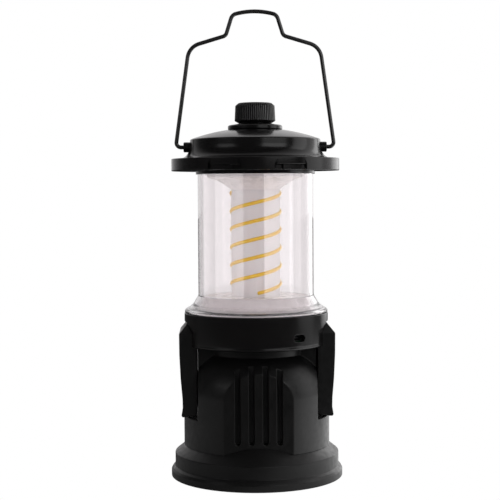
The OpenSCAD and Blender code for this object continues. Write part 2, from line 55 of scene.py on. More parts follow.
MM = 0.001
WELD = MM * 0.001               # points closer than this are one
AROUND = 160                    # segments in a full turn
AROUND_SHELL = 192              # in a turn of a large outer shell
AROUND_CAVITY = 96
AROUND_HOLE = 40
SHARP = math.radians(32)        # edges that turn more than this stay sharp in the shading


# ---------------------------------------------------------------- materials

def shader(mat):
    """The material's Principled shader."""
    return mat.node_tree.nodes["Principled BSDF"]


def new_material(name, color, rough, metallic=0.0, **sockets):
    """A Principled material; sockets are set on the shader itself."""
    mat = bpy.data.materials.new(name)
    mat.use_nodes = True
    bsdf = shader(mat)
    bsdf.inputs["Base Color"].default_value = (*color, 1)
    bsdf.inputs["Roughness"].default_value = rough
    bsdf.inputs["Metallic"].default_value = metallic
    for key, value in sockets.items():
        bsdf.inputs[key.replace("_", " ")].default_value = value
    return mat


def noise(mat, scale, detail=3.0, stretch=(1, 1, 1)):
    """Noise in object space: scale is in features per metre."""
    tree = mat.node_tree
    coords = tree.nodes.new("ShaderNodeTexCoord")
    mapping = tree.nodes.new("ShaderNodeMapping")
    mapping.inputs["Scale"].default_value = stretch
    tex = tree.nodes.new("ShaderNodeTexNoise")
    tex.inputs["Scale"].default_value = scale
    tex.inputs["Detail"].default_value = detail
    tree.links.new(coords.outputs["Object"], mapping.inputs["Vector"])
    tree.links.new(mapping.outputs["Vector"], tex.inputs["Vector"])
    return tex.outputs["Fac"]


def spread(mat, source, low, high, start=0.3, end=0.7):
    """Maps a 0 to 1 value from start..end onto low..high."""
    node = mat.node_tree.nodes.new("ShaderNodeMapRange")
    for key, value in (("From Min", start), ("From Max", end), ("To Min", low), ("To Max", high)):
        node.inputs[key].default_value = value
    mat.node_tree.links.new(source, node.inputs["Value"])
    return node.outputs["Result"]


def ramp(tree, source, low, high, start, end):
    """A colour that runs from low to high as the source goes from start to end."""
    node = tree.nodes.new("ShaderNodeValToRGB")
    for element, position, color in zip(node.color_ramp.elements, (start, end), (low, high)):
        element.position = position
        element.color = (*color, 1)
    tree.links.new(source, node.inputs["Fac"])
    return node.outputs["Color"]


def vary_color(mat, source, low, high, start=0.3, end=0.7):
    """Base colour runs from low to high with the source."""
    tree = mat.node_tree
    tree.links.new(ramp(tree, source, low, high, start, end), shader(mat).inputs["Base Color"])


def vary_rough(mat, source, low, high):
    """Roughness runs from low to high with the source."""
    mat.node_tree.links.new(spread(mat, source, low, high), shader(mat).inputs["Roughness"])


def bump(mat, source, depth, strength):
    """Bump whose full height is depth metres; several calls chain."""
    tree = mat.node_tree
    node = tree.nodes.new("ShaderNodeBump")
    node.inputs["Strength"].default_value = strength
    node.inputs["Distance"].default_value = depth
    normal = shader(mat).inputs["Normal"]
    if normal.is_linked:
        tree.links.new(normal.links[0].from_socket, node.inputs["Normal"])
    tree.links.new(source, node.inputs["Height"])
    tree.links.new(node.outputs["Normal"], normal)


def gloss_black():
    """Polished ABS: near black, with faint flow marks and an uneven polish."""
    mat = new_material("gloss_black", (0.003, 0.0028, 0.003), 0.16, Specular_IOR_Level=0.5)
    vary_color(mat, noise(mat, 40), (0.0012, 0.0011, 0.0012), (0.0026, 0.0023, 0.0023))
    vary_rough(mat, noise(mat, 70, 3, (1, 1, 0.3)), 0.17, 0.23)
    bump(mat, noise(mat, 130, 2), 0.00004, 0.25)
    return mat


def satin_black(name="satin_black", low=0.0008, high=0.0018, rough=0.34):
    """Spark-eroded ABS: a fine even texture that scatters highlights."""
    mat = new_material(name, (low, low, low), rough, Specular_IOR_Level=0.45)
    vary_color(mat, noise(mat, 60, 4), (low * 1.02, low * 0.97, low), (high, high * 0.95, high * 0.97))
    vary_rough(mat, noise(mat, 350, 4), rough - 0.05, rough + 0.1)
    bump(mat, noise(mat, 2600, 2), 0.00003, 0.15)
    bump(mat, noise(mat, 90, 2), 0.00006, 0.2)
    return mat


def clear_plastic():
    """Injection-moulded clear globe: faint haze and long upright draw marks."""
    mat = new_material("clear_globe", (0.795, 0.765, 0.775), 0.03, IOR=1.6, Transmission_Weight=1.0)
    vary_rough(mat, noise(mat, 300, 3, (1, 1, 0.1)), 0.01, 0.06)
    bump(mat, noise(mat, 55, 1, (1, 1, 0.25)), 0.00005, 0.3)
    return mat


def white_gloss():
    """White reflector moulding with faint sink marks."""
    mat = new_material("white_reflector", (0.9, 0.87, 0.87), 0.28, Specular_IOR_Level=0.5)
    vary_color(mat, noise(mat, 35, 3), (0.86, 0.83, 0.83), (0.93, 0.905, 0.9))
    vary_rough(mat, noise(mat, 220, 3), 0.22, 0.36)
    bump(mat, noise(mat, 120, 2), 0.00005, 0.25)
    return mat


def white_column():
    """Diffusing silicone-white tube."""
    mat = new_material("white_column", (0.86, 0.84, 0.84), 0.5, Subsurface_Weight=0.15)
    shader(mat).inputs["Subsurface Radius"].default_value = (0.004, 0.003, 0.003)
    shader(mat).inputs["Subsurface Scale"].default_value = 0.5
    vary_color(mat, noise(mat, 45, 3), (0.8, 0.775, 0.77), (0.88, 0.865, 0.86))
    bump(mat, noise(mat, 700, 3), 0.00004, 0.25)
    return mat


def phosphor():
    """Yellow phosphor silicone with a slightly lumpy skin."""
    mat = new_material("filament_phosphor", (0.97, 0.58, 0.004), 0.38, Subsurface_Weight=0.1)
    shader(mat).inputs["Subsurface Radius"].default_value = (0.002, 0.0012, 0.0003)
    vary_color(mat, noise(mat, 650, 3), (0.94, 0.53, 0.002), (1.0, 0.68, 0.008))
    vary_rough(mat, noise(mat, 500, 3), 0.3, 0.48)
    bump(mat, noise(mat, 900, 2), 0.00008, 0.5)
    return mat


def rubber():
    """Dull moulded rubber with a dusty grain."""
    mat = new_material("rubber", (0.02, 0.02, 0.02), 0.72, Specular_IOR_Level=0.35)
    vary_color(mat, noise(mat, 240, 5), (0.014, 0.014, 0.014), (0.032, 0.031, 0.03))
    vary_rough(mat, noise(mat, 500, 4), 0.62, 0.85)
    bump(mat, noise(mat, 1500, 4), 0.00008, 0.5)
    return mat


def coated_wire():
    """Spring wire under a thin black stoved coat that has a few dull rubs."""
    mat = new_material("coated_wire", (0.006, 0.006, 0.006), 0.28, Specular_IOR_Level=0.7, Coat_Weight=0.6)
    vary_color(mat, noise(mat, 120, 4), (0.003, 0.003, 0.003), (0.008, 0.0075, 0.0075), 0.4, 0.75)
    vary_rough(mat, noise(mat, 60, 3), 0.22, 0.32)
    bump(mat, noise(mat, 200, 2), 0.00003, 0.1)
    return mat


def metal(name, color, rough):
    """Turned or pressed metal: fine lines across Z and a duller bloom."""
    mat = new_material(name, color, rough, metallic=1.0)
    dull, stretch = tuple(c * 0.72 for c in color), (1, 1, 8)
    vary_color(mat, noise(mat, 260, 4, stretch), dull, color)
    vary_rough(mat, noise(mat, 900, 4, stretch), rough - 0.08, rough + 0.14)
    bump(mat, noise(mat, 1400, 3, stretch), 0.00003, 0.3)
    return mat


def plain_plastic(name, low, high, rough):
    """Coloured plastic, board or sleeve with a mottled tone."""
    mat = new_material(name, high, rough)
    vary_color(mat, noise(mat, 200, 4), low, high)
    vary_rough(mat, noise(mat, 600, 3), rough - 0.08, rough + 0.1)
    bump(mat, noise(mat, 1200, 3), 0.00004, 0.3)
    return mat


MATERIALS = {
    "black_gloss": gloss_black(),
    "black_satin": satin_black(),
    "black_inner": satin_black("black_inner", 0.004, 0.008, 0.5),
    "clear_globe": clear_plastic(),
    "white_reflector": white_gloss(),
    "white_column": white_column(),
    "led_filament": phosphor(),
    "rubber_black": rubber(),
    "screw_steel": metal("screw_steel", (0.62, 0.61, 0.59), 0.32),
    "screw_black": metal("screw_black", (0.05, 0.05, 0.05), 0.4),
    "contact_dark": metal("contact_dark", (0.1, 0.1, 0.1), 0.4),
    "contact_brass": metal("contact_brass", (0.78, 0.6, 0.28), 0.26),
    "wire_black": coated_wire(),
    # The board's green is darkened past its own colour as painted shade, so that through the charging window
    # it reads as dark as the shade inside the head.
    "pcb_green": plain_plastic("pcb_green", (0.004, 0.03, 0.012), (0.008, 0.055, 0.022), 0.35),
    "cell_wrap": plain_plastic("cell_wrap", (0.02, 0.16, 0.1), (0.03, 0.24, 0.15), 0.3),
    "wire_red": plain_plastic("wire_red", (0.3, 0.02, 0.015), (0.45, 0.04, 0.03), 0.4),
}
SLOT_OF = {part["node"]: part["material_slot"] for part in frame["record"]["subparts"]}


# ---------------------------------------------------------------- mesh tools

def finish_piece(obj, node, body="lantern"):
    """Gives a new piece its material and its body, and hides the CAD node it stands for."""
    slot = SLOT_OF[node]
    obj.data.materials.clear()
    obj.data.materials.append(MATERIALS[slot])
    for poly in obj.data.polygons:
        poly.material_index = 0
    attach(obj, body)
    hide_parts(node)


def from_bmesh(bm, name):
    """A new object of the scene, with its faces turned outwards."""
    bmesh.ops.recalc_face_normals(bm, faces=bm.faces)
    mesh = bpy.data.meshes.new(name)
    bm.to_mesh(mesh)
    bm.free()
    obj = bpy.data.objects.new(name, mesh)
    bpy.context.scene.collection.objects.link(obj)
    return obj


def apply_modifiers(obj):
    """Puts what the modifiers make into the mesh itself."""
    graph = bpy.context.evaluated_depsgraph_get()
    mesh = bpy.data.meshes.new_from_object(obj.evaluated_get(graph))
    obj.modifiers.clear()
    obj.data = mesh


def shade_smooth(obj, angle=SHARP):
    """Smooth shading, apart from edges that turn more than the angle."""
    for poly in obj.data.polygons:
        poly.use_smooth = True
    obj.data.set_sharp_from_angle(angle=angle)


def smooth(obj, angle=SHARP):
    """Smooth shading in which flat faces stay flat beside their fillets."""
    shade_smooth(obj, angle)
    obj.modifiers.new("even", "WEIGHTED_NORMAL").keep_sharp = True
    apply_modifiers(obj)


def swing(centre, start, end, steps):
    """Points that swing about a centre from one spoke to another of the same length."""
    turn = start.angle(end)
    points = []
    for k in range(steps + 1):
        t = k / steps
        points.append(centre + (start * math.sin((1 - t) * turn) + end * math.sin(t * turn)) / math.sin(turn))
    return points


def fillet(points, steps=4):
    """Closed outline of (a, b, radius) corners, in millimetres, with each corner rounded."""
    out = []
    for i, (x, y, radius) in enumerate(points):
        here = Vector((x, y))
        if radius <= 0:
            out.append(here)
            continue
        before = Vector(points[i - 1][:2]) - here
        after = Vector(points[(i + 1) % len(points)][:2]) - here
        angle = before.angle(after)
        reach = min(radius / math.tan(angle / 2), before.length * 0.48, after.length * 0.48)
        a = here + before.normalized() * reach
        b = here + after.normalized() * reach
        bisector = (before.normalized() + after.normalized()).normalized()
        centre = here + bisector * (reach / math.cos(angle / 2))
        out += swing(centre, a - centre, b - centre, steps)
    return out


def plain(points):
    """Outline corners without a fillet."""
    return [(x, y, 0) for x, y in points]


def arc(cx, cy, radius, start, end, steps):
    """Points along an arc, angles in degrees."""
    turns = [math.radians(start + (end - start) * i / steps) for i in range(steps + 1)]
    return plain([(cx + radius * math.cos(a), cy + radius * math.sin(a)) for a in turns])


def lathe(name, points, around=AROUND):
    """Solid of revolution about Z from a closed outline of (radius, height, fillet) in millimetres."""
    outline = [p * MM for p in fillet(points)]
    bm = bmesh.new()
    rings = []
    for k in range(around):
        a = 2 * math.pi * k / around
        rings.append([bm.verts.new((p.x * math.cos(a), p.x * math.sin(a), p.y)) for p in outline])
    for k in range(around):
        one, two = rings[k], rings[(k + 1) % around]
        for i in range(len(outline)):
            j = (i + 1) % len(outline)
            if max(outline[i].x, outline[j].x) > WELD:
                bm.faces.new((one[i], two[i], two[j], one[j]))
    bmesh.ops.remove_doubles(bm, verts=bm.verts, dist=WELD)
    return from_bmesh(bm, name)


def prism(name, points, depth, matrix, steps=4):
    """Outline in millimetres pushed depth millimetres along its local Z, then placed by matrix."""
    outline = [p * MM for p in fillet(points, steps)]
    bm = bmesh.new()
    low = [bm.verts.new(matrix @ Vector((p.x, p.y, 0))) for p in outline]
    high = [bm.verts.new(matrix @ Vector((p.x, p.y, depth * MM))) for p in outline]
    bm.faces.new(low[::-1])
    bm.faces.new(high)
    for i in range(len(outline)):
        j = (i + 1) % len(outline)
        bm.faces.new((low[i], low[j], high[j], high[i]))
    return from_bmesh(bm, name)


def moved(x, y, z):
    """Placement by a step in millimetres."""
    return Matrix.Translation((x * MM, y * MM, z * MM))


def turned(degrees, axis="Z"):
    """Placement by a turn about an axis."""
    return Matrix.Rotation(math.radians(degrees), 4, axis)


# Local Z along +X, for outlines drawn in the (y, z) plane
ALONG_X = Matrix(((0, 0, 1, 0), (1, 0, 0, 0), (0, 1, 0, 0), (0, 0, 0, 1)))
# Local Z along -Y, for outlines drawn in the (x, z) plane
ALONG_MINUS_Y = Matrix(((1, 0, 0, 0), (0, 0, -1, 0), (0, 1, 0, 0), (0, 0, 0, 1)))


def block(low, high):
    """Plain block between two corners in millimetres."""
    (x0, y0, z0), (x1, y1, z1) = low, high
    return prism("block", plain([(x0, y0), (x1, y0), (x1, y1), (x0, y1)]), z1 - z0, moved(0, 0, z0))


def rod(radius, length, matrix):
    """Round rod, in millimetres, along its local Z, then placed by matrix."""
    sides = AROUND_HOLE
    ring = arc(0, 0, radius, 0, 360 - 360 / sides, sides - 1)
    return prism("rod", ring, length, matrix)


def sector(r_in, r_out, start, end, z0, z1):
    """Sector of a ring; angles in degrees from the front towards +X."""
    steps = 10
    outline = arc(0, 0, r_out, start - 90, end - 90, steps) + arc(0, 0, r_in, end - 90, start - 90, steps)
    return prism("sector", outline, z1 - z0, moved(0, 0, z0))


def mirrored(obj):
    """Copy of an object mirrored to the other side."""
    bm = bmesh.new()
    bm.from_mesh(obj.data)
    bm.transform(Matrix.Diagonal((-1, 1, 1, 1)))
    return from_bmesh(bm, obj.name + "_mirrored")


def with_mirror(obj):
    """The object and its copy on the other side."""
    return obj, mirrored(obj)


def merge(objects, name):
    """Joins separate solids into one object."""
    bm = bmesh.new()
    for obj in objects:
        bm.from_mesh(obj.data)
        bpy.data.objects.remove(obj)
    return from_bmesh(bm, name)


def combine(obj, operation, *tools):
    """One boolean with tools that don't touch each other, which are used up."""
    tool = merge(tools, "tool")
    mod = obj.modifiers.new("cut", "BOOLEAN")
    mod.operation = operation
    mod.solver = "EXACT"
    mod.object = tool
    apply_modifiers(obj)
    bpy.data.objects.remove(tool)


def at_four(make, radius):
    """One object holding make() at four diagonal places on a circle."""
    parts = []
    for quarter in range(4):
        part = make()
        part.data.transform(turned(45 + 90 * quarter) @ moved(radius, 0, 0))
        parts.append(part)
    return merge(parts, "four")


def round_edges(obj, width):
    """Small fillets, in millimetres, on every edge sharper than 22 degrees."""
    bm = bmesh.new()
    bm.from_mesh(obj.data)
    bmesh.ops.remove_doubles(bm, verts=bm.verts, dist=width * MM * 0.25)
    bmesh.ops.dissolve_degenerate(bm, edges=bm.edges, dist=MM * 0.01)
    bmesh.ops.dissolve_limit(bm, angle_limit=math.radians(0.2), verts=bm.verts, edges=bm.edges)
    bm.to_mesh(obj.data)
    bm.free()
    mod = obj.modifiers.new("round", "BEVEL")
    mod.width = width * MM
    mod.segments = 3
    mod.limit_method = "ANGLE"
    mod.angle_limit = math.radians(22)
    mod.use_clamp_overlap = False
    apply_modifiers(obj)


def tube_along(name, path, radii, sides=20):
    """Round tube swept along points (metres) with a radius (metres) at each, closed at both ends."""
    bm = bmesh.new()
    rings = []
    turns = [2 * math.pi * k / sides for k in range(sides)]
    normal = None
    for i, p in enumerate(path):
        ahead = (path[min(i + 1, len(path) - 1)] - path[max(i - 1, 0)]).normalized()
        if normal is None:
            normal = ahead.orthogonal().normalized()
        normal = (normal - ahead * normal.dot(ahead)).normalized()
        side = ahead.cross(normal)
        spokes = [math.cos(a) * normal + math.sin(a) * side for a in turns]
        rings.append([bm.verts.new(p + radii[i] * spoke) for spoke in spokes])
    for one, two in zip(rings, rings[1:]):
        for k in range(sides):
            j = (k + 1) % sides
            bm.faces.new((one[k], one[j], two[j], two[k]))
    bm.faces.new(rings[0][::-1])
    bm.faces.new(rings[-1])
    return from_bmesh(bm, name)


# ---------------------------------------------------------------- sizes, in millimetres

def mm(value):
    return value / MM


# How far a node of the frame reaches
def top(node):
    return mm(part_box(node)[1].z)


def bottom(node):
    return mm(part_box(node)[0].z)


def reach_x(node):
    return mm(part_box(node)[1].x)


def reach_y(node):
    return mm(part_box(node)[1].y)


def joint_place(name):
    """Where a joint's axis is, in millimetres."""
    joint = next(j for j in frame["record"]["behaviour"]["joints"] if j["name"] == name)
    return [mm(v) for v in joint["pos_m"]]


# Read from the frame: radii, lower ends (Z0) and upper ends (Z1) of the nodes
FOOT_R = reach_x("base_ring")
FOOT_Z = bottom("base_ring")
SHELF_Z = top("base_ring")
HOUSING_R = reach_x("battery_housing")
HOUSING_Z0 = bottom("battery_housing")
NECK_TOP = top("battery_housing")
FLAT_Y = reach_y("battery_housing")
LATCH_Z0 = bottom("latch_right")
LATCH_Z1 = top("latch_right")
LATCH_HALF = reach_y("latch_right")
COLLAR_R = reach_y("collar")
COLLAR_Z0, COLLAR_Z1 = bottom("collar"), top("collar")
GLOBE_Z0, GLOBE_Z1 = bottom("globe"), top("globe")
PLATFORM_Z = top("lower_reflector")
COLUMN_R = reach_x("light_column")
COLUMN_Z0, COLUMN_Z1 = bottom("light_column"), top("light_column")
BRIM_R = reach_x("lid")
BRIM_Z0, SEAT_Z = bottom("lid"), top("lid")
PLATE_Z0, PLATE_Z1 = BRIM_Z0 + 0.8, top("globe_ring")
BEZEL_R = reach_x("knob_bezel")
KNOB_R = reach_x("dimmer_knob")
KNOB_Z0, KNOB_Z1 = bottom("dimmer_knob"), top("dimmer_knob")
BAIL_Z = joint_place("bail_hinge")[2]
PIN_X, _, PIN_Z = joint_place("latch_right_hinge")
PORT_Z = (top("charge_port") + bottom("charge_port")) / 2

# Shared by several pieces
COVER_TOP = 4.4                 # where the bottom cover meets the base ring
BASE_SCREW_R = 33.5             # circles that the screws stand on
LID_SCREW_R = 38.3
BASE_BORE_R = 30.5              # opening from the base ring into the housing
CONE_R = 33                     # small end of the cone on which the housing sits
CONE_SLOPE = 0.809              # rise over run of that cone
LEDGE_Z = LATCH_Z0 - 0.6        # under the side flats
FLAT_X = 31.9                   # side flats
SHOULDER_Z = 45.7               # where the shoulder starts to curve in
SHOULDER_R = 24.75              # its radius
NECK_R = 27.5
WALL = 2                        # of the housing
FAR = 100                       # well past the object
GROOVE_W = 2.9                  # cooling grooves: width, floor and lower end
GROOVE_Y = 31.9
GROOVE_Z = 22.5
PORT_ANGLE = 33.8               # charging window, from the front towards +X
FILAMENT_LEAD = 19.6            # rise of a filament in one turn
FILAMENT_Z = 149.4              # where filament_a crosses the front
DOME_R = 35.5                   # upright band of the lid
DOME_TOP_R = 15.2               # flat seat at the top of the lid
LUG_R = 2.75

# Bail wire: its radius, that of its headed ends, and its bends as (x, z, bend radius)
BAIL_R = 1.1
BAIL_HEAD_R = 1.8
BAIL_CORNERS = [(43.2, BAIL_Z, 2.5), (35.6, 233.7, 9), (15.6, 239.7, 3), (12.1, 250.9, 4)]
BAIL_CROWN = (0, 254.3, 40)


# ---------------------------------------------------------------- base

def foot_ring():
    """Rubber ring with a groove round the middle of its resting face."""
    r_out, height = reach_x("foot_ring"), top("foot_ring")
    middle = r_out - 2.85
    ring = lathe("foot_ring_rubber", [(r_out - 5.7, 0, 0.5), (middle - 0.9, 0, 0.2), (middle - 0.5, 0.5, 0.1),
                 (middle + 0.5, 0.5, 0.1), (middle + 0.9, 0, 0.2), (r_out, 0, 0.5),
                 (r_out, height, 0.1), (r_out - 5.7, height, 0.1)])
    smooth(ring)
    finish_piece(ring, "foot_ring")


def base_ring():
    """Foot moulding: band, step and the cone that the housing sits on."""
    band, bore, foot_in, foot_top, lip = FOOT_R - 2.1, BASE_BORE_R, 43.4, 2.4, 37.5
    ring = lathe("base_ring_moulding", [
        (foot_in, FOOT_Z, 0.2), (FOOT_R, FOOT_Z, 0.35), (FOOT_R, 3.6, 0.8), (FOOT_R - 0.75, 4.9, 0.6),
        (band, 6.1, 0.9), (band, 13.1, 0.9), (HOUSING_R, HOUSING_Z0, 0), (CONE_R, SHELF_Z, 0.5),
        (bore, SHELF_Z, 0.3), (bore, SHELF_Z - 3, 0.3), (bore + 1.5, SHELF_Z - 3, 0.3),
        (band - 2.6, 11.5, 0.6), (band - 2.6, COVER_TOP, 0.4), (lip, COVER_TOP, 0.2),
        (lip, foot_top, 0.2), (foot_in, foot_top, 0.2)])
    screw_holes = at_four(lambda: rod(1.7, 8, moved(0, 0, SHELF_Z - 6)), BASE_SCREW_R)
    combine(ring, "DIFFERENCE", screw_holes)
    smooth(ring)
    finish_piece(ring, "base_ring")


def bottom_cover():
    """Cover plate with grip grooves and four screw posts."""
    r_out, low = reach_x("bottom_cover"), bottom("bottom_cover")
    grooves = []
    for r in (10, 18, 26):
        grooves += [(r, low, 0.1), (r + 0.4, low + 0.5, 0.1), (r + 1.2, low + 0.5, 0.1), (r + 1.6, low, 0.1)]
    cover = lathe("bottom_cover_moulding", [(0, low, 0)] + grooves
                  + [(r_out, low, 0.5), (r_out, COVER_TOP, 0.3), (0, COVER_TOP, 0)])
    posts = at_four(lambda: rod(2.9, 11.9, moved(0, 0, COVER_TOP - 0.5)), BASE_SCREW_R)
    combine(cover, "UNION", posts)
    head_r, shank_r, head_z = 2.7, 1.7, 3
    bore = plain([(0, 0), (head_r, 0), (head_r, head_z), (shank_r, head_z), (shank_r, 30), (0, 30)])
    combine(cover, "DIFFERENCE", at_four(lambda: lathe("bore", bore, AROUND_HOLE), BASE_SCREW_R))
    smooth(cover)
    finish_piece(cover, "bottom_cover")


def one_screw(head_r, z0, z1, shank_r, tip_z):
    """Pan head screw pointing up, with a cross recess in its head."""
    screw = lathe("screw", [(0, z0, 0), (head_r, z0, 0.45), (head_r, z1, 0.1), (shank_r, z1, 0),
                  (shank_r, tip_z - 0.6, 0), (shank_r - 0.5, tip_z, 0), (0, tip_z, 0)], around=32)
    long, wide, deep = head_r * 0.62, 0.32, (z1 - z0) * 0.6
    cross = [(long, -wide), (long, wide), (wide, wide), (wide, long), (-wide, long), (-wide, wide),
             (-long, wide), (-long, -wide), (-wide, -wide), (-wide, -long), (wide, -long), (wide, -wide)]
    combine(screw, "DIFFERENCE", prism("cross", plain(cross), deep + 1, moved(0, 0, z0 - 1)))
    return screw


def screws(node, places, head_r, head_h, shank_r):
    """Equal screws at the given (x, y) places, as one piece."""
    z0, z1 = bottom(node), top(node)
    parts = []
    for i, (x, y) in enumerate(places):
        screw = one_screw(head_r, z0, z0 + head_h, shank_r, z1)
        screw.data.transform(moved(x, y, 0) @ turned(25 + 37 * i))
        parts.append(screw)
    group = merge(parts, node + "_detailed")
    smooth(group)
    finish_piece(group, node)


def four_corners(x, y):
    """The (x, y) corners of a rectangle about the axis."""
    return [(sx * x, sy * y) for sx in (-1, 1) for sy in (-1, 1)]


def diagonals(radius):
    """The corners of the square that a circle holds."""
    side = radius * math.sqrt(0.5)
    return four_corners(side, side)


# ---------------------------------------------------------------- battery housing

def shoulder_arc(inset):
    """The quarter-round shoulder, up to where it meets the neck."""
    centre, radius = HOUSING_R - SHOULDER_R, SHOULDER_R - inset
    end = math.degrees(math.acos((NECK_R - inset - centre) / radius))
    return arc(centre, SHOULDER_Z, radius, 0, end, 18)


def cut_flats(obj, inset):
    """Cuts the front, back and side flats, moved in by inset."""
    y, x = FLAT_Y - inset, FLAT_X - inset
    combine(obj, "INTERSECT", block((-FAR, -y, 0), (FAR, y, FAR)))
    combine(obj, "DIFFERENCE", *with_mirror(block((x, -FAR, LEDGE_Z - inset), (FAR, FAR, FAR))))


def cooling_grooves():
    """Cutters for the four cooling grooves of the front and of the back."""
    end, top_z = GROOVE_W / 2 - 0.01, 80
    cuts = []
    for x in (-11, -3.7, 3.7, 11):
        left, right = x - GROOVE_W / 2, x + GROOVE_W / 2
        outline = [(left, GROOVE_Z, end), (right, GROOVE_Z, end), (right, top_z, 0), (left, top_z, 0)]
        for half_turn in (0, 180):
            place = turned(half_turn) @ moved(0, -GROOVE_Y, 0) @ ALONG_MINUS_Y
            cuts.append(prism("groove", outline, 20, place, steps=8))
    return cuts


def catch_slots():
    """Cutters for the slots in the side flats that the latches hook into."""
    return with_mirror(block((FLAT_X - 1.2, -5.5, 39.5), (FLAT_X + 2, 5.5, 42.5)))


def housing_hollow():
    """Cutter for the inside, which leaves a wall, the floors of the grooves and the screw posts."""
    low, high, ledge_r = SHELF_Z + WALL, NECK_TOP + 1, 33.7
    hollow = lathe("hollow", plain([(0, SHELF_Z - 1), (BASE_BORE_R, SHELF_Z - 1), (BASE_BORE_R, low),
                   (ledge_r, low), (HOUSING_R - WALL, HOUSING_Z0 + WALL * (1 + CONE_SLOPE))])
                   + shoulder_arc(WALL) + plain([(NECK_R - WALL, high), (0, high)]), AROUND_CAVITY)
    cut_flats(hollow, WALL)
    behind = []
    for half_turn in (0, 180):
        wall = block((-14.2, GROOVE_Y - WALL, SHELF_Z + 1), (14.2, FAR, FAR))
        wall.data.transform(turned(half_turn))
        behind.append(wall)
    combine(hollow, "DIFFERENCE", *behind)
    posts = at_four(lambda: rod(4.4, 14, moved(0, 0, SHELF_Z)), BASE_SCREW_R)
    combine(hollow, "DIFFERENCE", posts)
    return hollow


def battery_housing():
    """Body with flats, cooling grooves, a round shoulder and a neck."""
    housing = lathe("battery_housing_moulding",
                    plain([(0, SHELF_Z), (CONE_R, SHELF_Z), (HOUSING_R, HOUSING_Z0)])
                    + shoulder_arc(0) + plain([(NECK_R, NECK_TOP), (0, NECK_TOP)]), AROUND_SHELL)
    cheek_top, half = 71.3, 15
    combine(housing, "UNION", *with_mirror(block((20, -half, 50), (FLAT_X + 1, half, cheek_top))))
    cut_flats(housing, 0)
    combine(housing, "DIFFERENCE", *catch_slots(), *cooling_grooves())
    round_edges(housing, 0.4)
    # The fillets stand a little proud where a flat meets the shoulder, so they are pressed back to the flats
    limit = FLAT_Y * MM
    for vert in housing.data.vertices:
        vert.co.y = max(-limit, min(limit, vert.co.y))
    combine(housing, "DIFFERENCE", housing_hollow())
    smooth(housing)
    finish_piece(housing, "battery_housing")


# ---------------------------------------------------------------- collar and side latches

def latch_face(gap):
    """The latch seen from the side, in the (y, z) plane, grown by gap."""
    half, corner_z = LATCH_HALF + gap, 79 + 2 * gap
    top_half, tip_z = 10.4 + 2 * gap, LATCH_Z1 + gap
    return plain([(-half, 20), (half, 20), (half, corner_z), (top_half, tip_z), (-top_half, tip_z),
                  (-half, corner_z)])


def lug_outline():
    """Hinge lug with a round end about the pin, in the (x, z) plane."""
    r, root = 2.4, 30
    return [(root, PIN_Z - r, 0), (PIN_X + r, PIN_Z - r, r - 0.01), (PIN_X + r, PIN_Z + r, r - 0.01),
            (root, PIN_Z + r, 0)]


def stadium(width, height):
    """Slot with round ends about the origin."""
    r = height / 2 - 0.01
    return [(-width / 2, -height / 2, r), (width / 2, -height / 2, r), (width / 2, height / 2, r),
            (-width / 2, height / 2, r)]


def collar():
    """Shell of the lamp head, with latch pockets, hinge lugs and the charging window."""
    r, low, high = COLLAR_R, COLLAR_Z0, COLLAR_Z1
    ring = lathe("collar_moulding", plain([
        (0, low), (r - 0.9, low), (r, low + 0.8), (r, low + 1.4), (r - 0.3, low + 1.8),
        (r - 0.1, low + 2.3), (r - 0.1, high), (0, high)]), AROUND_SHELL)
    pocket_x, wall, roof, lead_hole_r = 31.2, 2.5, 2, 9
    pocket = prism("pocket", latch_face(0.4), 20, moved(pocket_x, 0, 0) @ ALONG_X)
    window = turned(PORT_ANGLE) @ moved(0, -30, PORT_Z) @ ALONG_MINUS_Y
    port = prism("port", stadium(7.0, 3.9), 12, window, steps=8)
    cavity = lathe("cavity", plain([
        (0, low - 1), (r - wall, low - 1), (r - wall, high - roof),
        (lead_hole_r, high - roof), (lead_hole_r, high + 1), (0, high + 1)]), AROUND_CAVITY)
    box_half = LATCH_HALF + 2.4
    boxes = with_mirror(block((pocket_x - 1.8, -box_half, 60), (60, box_half, FAR)))
    combine(cavity, "DIFFERENCE", *boxes)
    combine(ring, "DIFFERENCE", *with_mirror(pocket), port)
    combine(ring, "DIFFERENCE", cavity)
    lugs = []
    for y in (-5, 8):
        lugs += with_mirror(prism("lug", lug_outline(), 3, moved(0, y, 0) @ ALONG_MINUS_Y, steps=10))
    combine(ring, "UNION", *lugs)
    round_edges(ring, 0.3)
    smooth(ring)
    finish_piece(ring, "collar")


